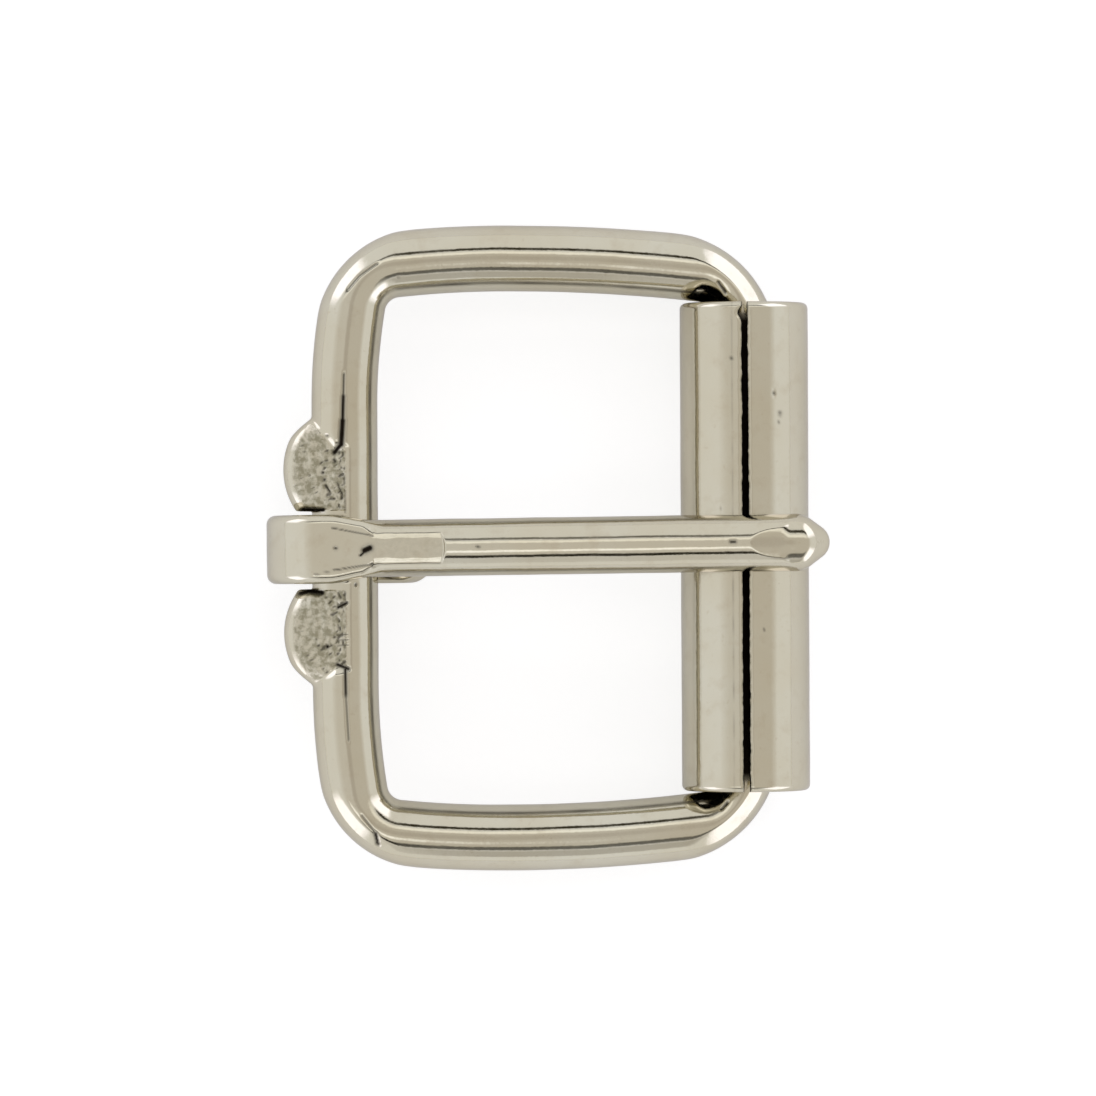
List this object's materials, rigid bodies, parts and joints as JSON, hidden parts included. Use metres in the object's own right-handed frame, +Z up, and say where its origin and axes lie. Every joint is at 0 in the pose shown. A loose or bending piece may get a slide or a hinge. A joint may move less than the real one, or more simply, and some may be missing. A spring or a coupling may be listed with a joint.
{
  "type": "roller buckle",
  "caption": "Rounded rectangular wire frame with a swinging tongue on one bar and a free sheet-metal roller on the opposite bar, for fastening a strap.",
  "frame": {"origin": "on the resting surface, under the middle of the buckle's overall length and width", "axes": "+X along the tongue towards its tip, +Y along the two bars, +Z up, away from the surface it lies on"},
  "size_m": [0.0424, 0.049, 0.0143],
  "materials": {
    "nickel_plate": "polished nickel plate over steel, lightly pitted and slightly warm"
  },
  "bodies": {
    "frame": {"frame": "nickel_plate"},
    "roller": {"roller": "nickel_plate"},
    "tongue": {"tongue": "nickel_plate"}
  },
  "joints": [
    {"name": "tongue_swing", "type": "hinge", "parent": "frame", "child": "tongue", "pos_m": [-0.01524, 0, 0.00497], "axis": [0, -1, 0], "range_deg": [0, 332]},
    {"name": "roller_spin", "type": "hinge", "parent": "frame", "child": "roller", "pos_m": [0.01503, 0, 0.00485], "axis": [0, 1, 0], "continuous": true}
  ]
}
